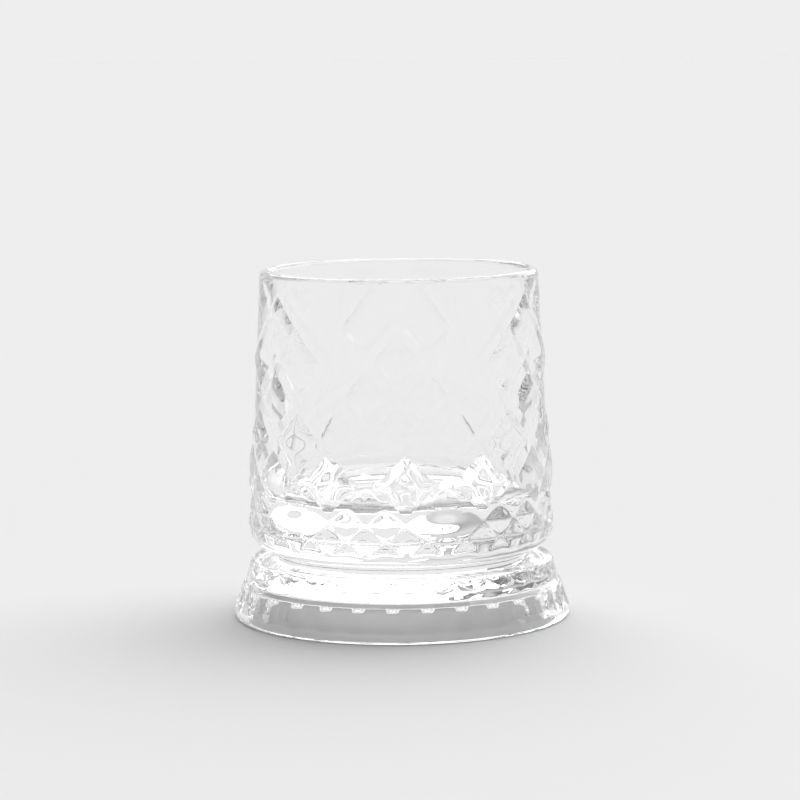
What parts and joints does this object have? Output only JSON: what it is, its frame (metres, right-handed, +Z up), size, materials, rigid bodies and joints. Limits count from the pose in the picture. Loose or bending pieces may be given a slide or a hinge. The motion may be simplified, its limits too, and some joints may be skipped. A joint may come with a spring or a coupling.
{
  "type": "whiskey tumbler",
  "caption": "Heavy clear-glass whiskey tumbler: a diamond-cut cup with smooth triangular windows, standing on a flared, fluted hollow foot.",
  "frame": {"origin": "centre of the standing ring, on the surface the tumbler rests on", "axes": "+Z up along the tumbler's axis, towards the rim; -Y through the middle of one smooth window"},
  "size_m": [0.092, 0.092, 0.095],
  "materials": {
    "clear_glass": "clear, fire-polished pressed glass"
  },
  "bodies": {
    "root": {"cup": "clear_glass", "foot": "clear_glass"}
  },
  "joints": []
}
